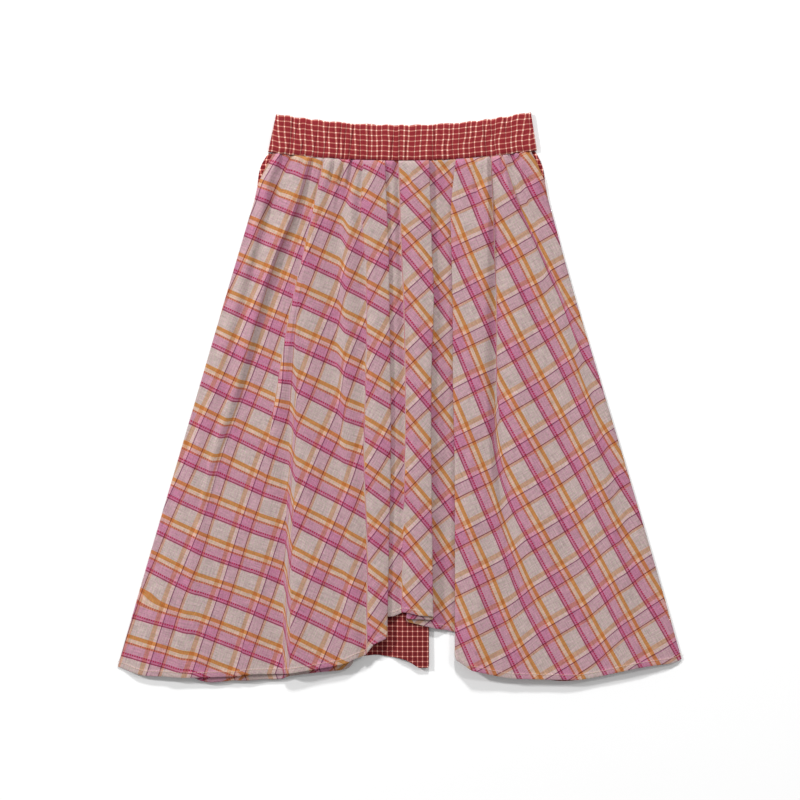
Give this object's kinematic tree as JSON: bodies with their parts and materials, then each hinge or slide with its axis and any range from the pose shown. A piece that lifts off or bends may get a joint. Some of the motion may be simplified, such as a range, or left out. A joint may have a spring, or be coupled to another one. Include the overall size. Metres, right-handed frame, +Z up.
{
  "type": "gathered flared skirt",
  "caption": "Flared skirt lying flat, with a gathered elastic waistband, plaid front, checked back and a hem that dips at both sides.",
  "frame": {"origin": "centre of the bounding box's bottom face, on the surface the skirt lies on", "axes": "+Z up from the surface, +Y from the hem to the waist, +X to the right of the front as it is seen from above"},
  "size_m": [0.7226, 0.7316, 0.016],
  "materials": {
    "plaid_cotton": "matt plain weave with a pink, orange and cream plaid",
    "check_cotton": "matt plain weave, red with a small cream check"
  },
  "bodies": {
    "root": {"front_panel": "plaid_cotton", "back_panel": "check_cotton", "waistband_front": "check_cotton", "waistband_back": "check_cotton"}
  },
  "joints": []
}
